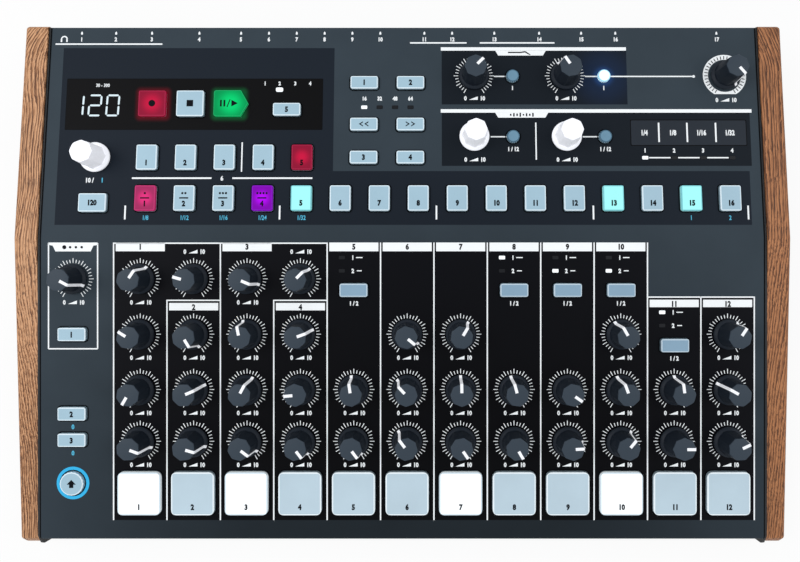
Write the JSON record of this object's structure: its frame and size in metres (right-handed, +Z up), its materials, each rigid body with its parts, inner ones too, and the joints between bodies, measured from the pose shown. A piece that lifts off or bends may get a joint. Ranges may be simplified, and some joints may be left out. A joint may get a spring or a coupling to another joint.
{
  "type": "drum machine",
  "caption": "Table-top drum machine with wooden cheeks, a folded control panel of turning knobs, step buttons and channel pads, and sockets at the back.",
  "frame": {"origin": "on the table, under the middle of the machine's outline", "axes": "+X to the player's right, +Y to the back, +Z up"},
  "size_m": [0.4808, 0.3306, 0.0605],
  "materials": {
    "panel_paint": "satin slate-blue powder coat",
    "tray_paint": "black powder coat",
    "light_wood": "oiled light hardwood with long grain",
    "dark_wood": "oiled red-brown hardwood with long grain",
    "board": "green circuit board",
    "socket_plastic": "black moulded plastic",
    "window": "smoked glossy plastic",
    "foot_rubber": "black rubber",
    "screw_steel": "blackened steel",
    "pad_plastic": "frosted translucent plastic, lit from below",
    "button_plastic": "frosted pale blue-grey plastic, lit from below",
    "knob_plastic": "charcoal moulded plastic with a white pointer line",
    "encoder_plastic": "white moulded plastic"
  },
  "bodies": {
    "chassis": {"top_panel": "panel_paint", "base_tray": "tray_paint", "socket_plate": "tray_paint", "left_cheek": "light_wood", "right_cheek": "dark_wood", "control_boards": "board", "rear_sockets": "socket_plastic", "lenses": "window", "feet": "foot_rubber", "screws": "screw_steel"},
    "knob_metronome_volume": {"knob_metronome_volume": "knob_plastic"},
    "knob_kick1_impact": {"knob_kick1_impact": "knob_plastic"},
    "knob_kick1_decay": {"knob_kick1_decay": "knob_plastic"},
    "knob_kick1_pitch": {"knob_kick1_pitch": "knob_plastic"},
    "knob_kick1_level": {"knob_kick1_level": "knob_plastic"},
    "knob_kick1_sweep": {"knob_kick1_sweep": "knob_plastic"},
    "knob_kick2_decay": {"knob_kick2_decay": "knob_plastic"},
    "knob_kick2_pitch": {"knob_kick2_pitch": "knob_plastic"},
    "knob_kick2_level": {"knob_kick2_level": "knob_plastic"},
    "knob_snare_snap_tone": {"knob_snare_snap_tone": "knob_plastic"},
    "knob_snare_snap_decay": {"knob_snare_snap_decay": "knob_plastic"},
    "knob_snare_snap_level": {"knob_snare_snap_level": "knob_plastic"},
    "knob_snare_level": {"knob_snare_level": "knob_plastic"},
    "knob_snare_drum_tone": {"knob_snare_drum_tone": "knob_plastic"},
    "knob_clap_decay": {"knob_clap_decay": "knob_plastic"},
    "knob_clap_tone": {"knob_clap_tone": "knob_plastic"},
    "knob_clap_level": {"knob_clap_level": "knob_plastic"},
    "knob_rim_tone": {"knob_rim_tone": "knob_plastic"},
    "knob_rim_level": {"knob_rim_level": "knob_plastic"},
    "knob_closed_hat_decay": {"knob_closed_hat_decay": "knob_plastic"},
    "knob_closed_hat_pitch": {"knob_closed_hat_pitch": "knob_plastic"},
    "knob_closed_hat_level": {"knob_closed_hat_level": "knob_plastic"},
    "knob_open_hat_decay": {"knob_open_hat_decay": "knob_plastic"},
    "knob_open_hat_pitch": {"knob_open_hat_pitch": "knob_plastic"},
    "knob_open_hat_level": {"knob_open_hat_level": "knob_plastic"},
    "knob_high_tom_pitch": {"knob_high_tom_pitch": "knob_plastic"},
    "knob_high_tom_level": {"knob_high_tom_level": "knob_plastic"},
    "knob_low_tom_pitch": {"knob_low_tom_pitch": "knob_plastic"},
    "knob_low_tom_level": {"knob_low_tom_level": "knob_plastic"},
    "knob_cymbal_decay": {"knob_cymbal_decay": "knob_plastic"},
    "knob_cymbal_tone": {"knob_cymbal_tone": "knob_plastic"},
    "knob_cymbal_level": {"knob_cymbal_level": "knob_plastic"},
    "knob_shaker_decay": {"knob_shaker_decay": "knob_plastic"},
    "knob_shaker_level": {"knob_shaker_level": "knob_plastic"},
    "knob_zap_decay": {"knob_zap_decay": "knob_plastic"},
    "knob_zap_pitch": {"knob_zap_pitch": "knob_plastic"},
    "knob_zap_level": {"knob_zap_level": "knob_plastic"},
    "knob_cutoff": {"knob_cutoff": "knob_plastic"},
    "knob_resonance": {"knob_resonance": "knob_plastic"},
    "knob_master_volume": {"knob_master_volume": "knob_plastic"},
    "encoder_tempo": {"encoder_tempo": "encoder_plastic"},
    "encoder_swing": {"encoder_swing": "encoder_plastic"},
    "encoder_randomness": {"encoder_randomness": "encoder_plastic"},
    "pads": {"pads": "pad_plastic"},
    "front_buttons": {"front_buttons": "button_plastic"},
    "step_buttons": {"step_buttons": "button_plastic"},
    "transport_buttons": {"transport_buttons": "button_plastic"},
    "rear_buttons": {"rear_buttons": "button_plastic"},
    "rear_level_knob": {"rear_level_knob": "knob_plastic"},
    "power_rocker": {"power_rocker": "socket_plastic"}
  },
  "joints": [
    {"name": "turn_metronome_volume", "type": "hinge", "parent": "chassis", "child": "knob_metronome_volume", "pos_m": [-0.20398, 0.0001, 0.03993], "axis": [0, -0.0958, 0.9954], "range_deg": [-32, 268]},
    {"name": "turn_kick1_impact", "type": "hinge", "parent": "chassis", "child": "knob_kick1_impact", "pos_m": [-0.16239, 0.0001, 0.03993], "axis": [0, -0.0958, 0.9954], "range_deg": [-116, 184]},
    {"name": "turn_kick1_decay", "type": "hinge", "parent": "chassis", "child": "knob_kick1_decay", "pos_m": [-0.16239, -0.034, 0.03664], "axis": [0, -0.0958, 0.9954], "range_deg": [-208, 92]},
    {"name": "turn_kick1_pitch", "type": "hinge", "parent": "chassis", "child": "knob_kick1_pitch", "pos_m": [-0.16239, -0.06809, 0.03336], "axis": [0, -0.0958, 0.9954], "range_deg": [-300, 0]},
    {"name": "turn_kick1_level", "type": "hinge", "parent": "chassis", "child": "knob_kick1_level", "pos_m": [-0.16239, -0.10004, 0.03028], "axis": [0, -0.0958, 0.9954], "range_deg": [-40, 260]},
    {"name": "turn_kick1_sweep", "type": "hinge", "parent": "chassis", "child": "knob_kick1_sweep", "pos_m": [-0.12932, 0.0001, 0.03993], "axis": [0, -0.0958, 0.9954], "range_deg": [-224, 76]},
    {"name": "turn_kick2_decay", "type": "hinge", "parent": "chassis", "child": "knob_kick2_decay", "pos_m": [-0.12932, -0.034, 0.03664], "axis": [0, -0.0958, 0.9954], "range_deg": [-1, 299]},
    {"name": "turn_kick2_pitch", "type": "hinge", "parent": "chassis", "child": "knob_kick2_pitch", "pos_m": [-0.12932, -0.06809, 0.03336], "axis": [0, -0.0958, 0.9954], "range_deg": [-83, 217]},
    {"name": "turn_kick2_level", "type": "hinge", "parent": "chassis", "child": "knob_kick2_level", "pos_m": [-0.12932, -0.10004, 0.03028], "axis": [0, -0.0958, 0.9954], "range_deg": [-44, 256]},
    {"name": "turn_snare_snap_tone", "type": "hinge", "parent": "chassis", "child": "knob_snare_snap_tone", "pos_m": [-0.09624, 0.0001, 0.03993], "axis": [0, -0.0958, 0.9954], "range_deg": [-37, 263]},
    {"name": "turn_snare_snap_decay", "type": "hinge", "parent": "chassis", "child": "knob_snare_snap_decay", "pos_m": [-0.09624, -0.034, 0.03664], "axis": [0, -0.0958, 0.9954], "range_deg": [-161, 139]},
    {"name": "turn_snare_snap_level", "type": "hinge", "parent": "chassis", "child": "knob_snare_snap_level", "pos_m": [-0.09624, -0.06809, 0.03336], "axis": [0, -0.0958, 0.9954], "range_deg": [-122, 178]},
    {"name": "turn_snare_level", "type": "hinge", "parent": "chassis", "child": "knob_snare_level", "pos_m": [-0.09624, -0.10004, 0.03028], "axis": [0, -0.0958, 0.9954], "range_deg": [-23, 277]},
    {"name": "turn_snare_drum_tone", "type": "hinge", "parent": "chassis", "child": "knob_snare_drum_tone", "pos_m": [-0.06317, 0.0001, 0.03993], "axis": [0, -0.0958, 0.9954], "range_deg": [-105, 195]},
    {"name": "turn_clap_decay", "type": "hinge", "parent": "chassis", "child": "knob_clap_decay", "pos_m": [-0.06317, -0.034, 0.03664], "axis": [0, -0.0958, 0.9954], "range_deg": [-80, 220]},
    {"name": "turn_clap_tone", "type": "hinge", "parent": "chassis", "child": "knob_clap_tone", "pos_m": [-0.06317, -0.06809, 0.03336], "axis": [0, -0.0958, 0.9954], "range_deg": [-245, 55]},
    {"name": "turn_clap_level", "type": "hinge", "parent": "chassis", "child": "knob_clap_level", "pos_m": [-0.06317, -0.10004, 0.03028], "axis": [0, -0.0958, 0.9954], "range_deg": [-7, 293]},
    {"name": "turn_rim_tone", "type": "hinge", "parent": "chassis", "child": "knob_rim_tone", "pos_m": [-0.0301, -0.06809, 0.03336], "axis": [0, -0.0958, 0.9954], "range_deg": [-158, 142]},
    {"name": "turn_rim_level", "type": "hinge", "parent": "chassis", "child": "knob_rim_level", "pos_m": [-0.0301, -0.10004, 0.03028], "axis": [0, -0.0958, 0.9954], "range_deg": [-7, 293]},
    {"name": "turn_closed_hat_decay", "type": "hinge", "parent": "chassis", "child": "knob_closed_hat_decay", "pos_m": [0.00297, -0.034, 0.03664], "axis": [0, -0.0958, 0.9954], "range_deg": [-21, 279]},
    {"name": "turn_closed_hat_pitch", "type": "hinge", "parent": "chassis", "child": "knob_closed_hat_pitch", "pos_m": [0.00297, -0.06809, 0.03336], "axis": [0, -0.0958, 0.9954], "range_deg": [-193, 107]},
    {"name": "turn_closed_hat_level", "type": "hinge", "parent": "chassis", "child": "knob_closed_hat_level", "pos_m": [0.00297, -0.10004, 0.03028], "axis": [0, -0.0958, 0.9954], "range_deg": [-187, 113]},
    {"name": "turn_open_hat_decay", "type": "hinge", "parent": "chassis", "child": "knob_open_hat_decay", "pos_m": [0.03603, -0.034, 0.03664], "axis": [0, -0.0958, 0.9954], "range_deg": [-119, 181]},
    {"name": "turn_open_hat_pitch", "type": "hinge", "parent": "chassis", "child": "knob_open_hat_pitch", "pos_m": [0.03603, -0.06809, 0.03336], "axis": [0, -0.0958, 0.9954], "range_deg": [-151, 149]},
    {"name": "turn_open_hat_level", "type": "hinge", "parent": "chassis", "child": "knob_open_hat_level", "pos_m": [0.03603, -0.10004, 0.03028], "axis": [0, -0.0958, 0.9954], "range_deg": [-4, 296]},
    {"name": "turn_high_tom_pitch", "type": "hinge", "parent": "chassis", "child": "knob_high_tom_pitch", "pos_m": [0.0691, -0.06809, 0.03336], "axis": [0, -0.0958, 0.9954], "range_deg": [-165, 135]},
    {"name": "turn_high_tom_level", "type": "hinge", "parent": "chassis", "child": "knob_high_tom_level", "pos_m": [0.0691, -0.10004, 0.03028], "axis": [0, -0.0958, 0.9954], "range_deg": [0, 300]},
    {"name": "turn_low_tom_pitch", "type": "hinge", "parent": "chassis", "child": "knob_low_tom_pitch", "pos_m": [0.10218, -0.06809, 0.03336], "axis": [0, -0.0958, 0.9954], "range_deg": [-25, 275]},
    {"name": "turn_low_tom_level", "type": "hinge", "parent": "chassis", "child": "knob_low_tom_level", "pos_m": [0.10218, -0.10004, 0.03028], "axis": [0, -0.0958, 0.9954], "range_deg": [-63, 237]},
    {"name": "turn_cymbal_decay", "type": "hinge", "parent": "chassis", "child": "knob_cymbal_decay", "pos_m": [0.13525, -0.034, 0.03664], "axis": [0, -0.0958, 0.9954], "range_deg": [-180, 120]},
    {"name": "turn_cymbal_tone", "type": "hinge", "parent": "chassis", "child": "knob_cymbal_tone", "pos_m": [0.13525, -0.06809, 0.03336], "axis": [0, -0.0958, 0.9954], "range_deg": [-170, 130]},
    {"name": "turn_cymbal_level", "type": "hinge", "parent": "chassis", "child": "knob_cymbal_level", "pos_m": [0.13525, -0.10004, 0.03028], "axis": [0, -0.0958, 0.9954], "range_deg": [-111, 189]},
    {"name": "turn_shaker_decay", "type": "hinge", "parent": "chassis", "child": "knob_shaker_decay", "pos_m": [0.16831, -0.06809, 0.03336], "axis": [0, -0.0958, 0.9954], "range_deg": [-157, 143]},
    {"name": "turn_shaker_level", "type": "hinge", "parent": "chassis", "child": "knob_shaker_level", "pos_m": [0.16831, -0.10004, 0.03028], "axis": [0, -0.0958, 0.9954], "range_deg": [-60, 240]},
    {"name": "turn_zap_decay", "type": "hinge", "parent": "chassis", "child": "knob_zap_decay", "pos_m": [0.20139, -0.034, 0.03664], "axis": [0, -0.0958, 0.9954], "range_deg": [-116, 184]},
    {"name": "turn_zap_pitch", "type": "hinge", "parent": "chassis", "child": "knob_zap_pitch", "pos_m": [0.20139, -0.06809, 0.03336], "axis": [0, -0.0958, 0.9954], "range_deg": [-211, 89]},
    {"name": "turn_zap_level", "type": "hinge", "parent": "chassis", "child": "knob_zap_level", "pos_m": [0.20139, -0.10004, 0.03028], "axis": [0, -0.0958, 0.9954], "range_deg": [-85, 215]},
    {"name": "turn_cutoff", "type": "hinge", "parent": "chassis", "child": "knob_cutoff", "pos_m": [0.0449, 0.12867, 0.04397], "axis": [0, -0.0157, 0.9999], "range_deg": [-105, 195]},
    {"name": "turn_resonance", "type": "hinge", "parent": "chassis", "child": "knob_resonance", "pos_m": [0.1027, 0.12867, 0.04397], "axis": [0, -0.0157, 0.9999], "range_deg": [-183, 117]},
    {"name": "turn_master_volume", "type": "hinge", "parent": "chassis", "child": "knob_master_volume", "pos_m": [0.20378, 0.12867, 0.04397], "axis": [0, -0.0157, 0.9999], "range_deg": [-10, 290]},
    {"name": "turn_encoder_tempo", "type": "hinge", "parent": "chassis", "child": "encoder_tempo", "pos_m": [-0.19198, 0.07587, 0.04315], "axis": [0, -0.0157, 0.9999], "continuous": true},
    {"name": "turn_encoder_swing", "type": "hinge", "parent": "chassis", "child": "encoder_swing", "pos_m": [0.0449, 0.08927, 0.04335], "axis": [0, -0.0157, 0.9999], "continuous": true},
    {"name": "turn_encoder_randomness", "type": "hinge", "parent": "chassis", "child": "encoder_randomness", "pos_m": [0.1027, 0.08927, 0.04335], "axis": [0, -0.0157, 0.9999], "continuous": true},
    {"name": "press_pads", "type": "slide", "parent": "chassis", "child": "pads", "axis": [0, -0.0958, 0.9954], "range_m": [-0.001, 0], "stiffness_N_per_m": 600, "springref_m": 0.002},
    {"name": "press_front_buttons", "type": "slide", "parent": "chassis", "child": "front_buttons", "axis": [0, -0.0958, 0.9954], "range_m": [-0.001, 0], "stiffness_N_per_m": 250, "springref_m": 0.002},
    {"name": "press_step_buttons", "type": "slide", "parent": "chassis", "child": "step_buttons", "axis": [0, -0.0157, 0.9999], "range_m": [-0.001, 0], "stiffness_N_per_m": 400, "springref_m": 0.002},
    {"name": "press_transport_buttons", "type": "slide", "parent": "chassis", "child": "transport_buttons", "axis": [0, -0.0157, 0.9999], "range_m": [-0.001, 0], "stiffness_N_per_m": 200, "springref_m": 0.002},
    {"name": "press_rear_buttons", "type": "slide", "parent": "chassis", "child": "rear_buttons", "axis": [0, -0.0157, 0.9999], "range_m": [-0.001, 0], "stiffness_N_per_m": 250, "springref_m": 0.002},
    {"name": "turn_rear_level", "type": "hinge", "parent": "chassis", "child": "rear_level_knob", "pos_m": [-0.16018, 0.15826, 0.02065], "axis": [0, 1, 0], "range_deg": [-150, 150]},
    {"name": "rock_power_switch", "type": "hinge", "parent": "chassis", "child": "power_rocker", "pos_m": [0.19978, 0.15826, 0.02328], "axis": [0, 0, 1], "range_deg": [0, 18]}
  ]
}
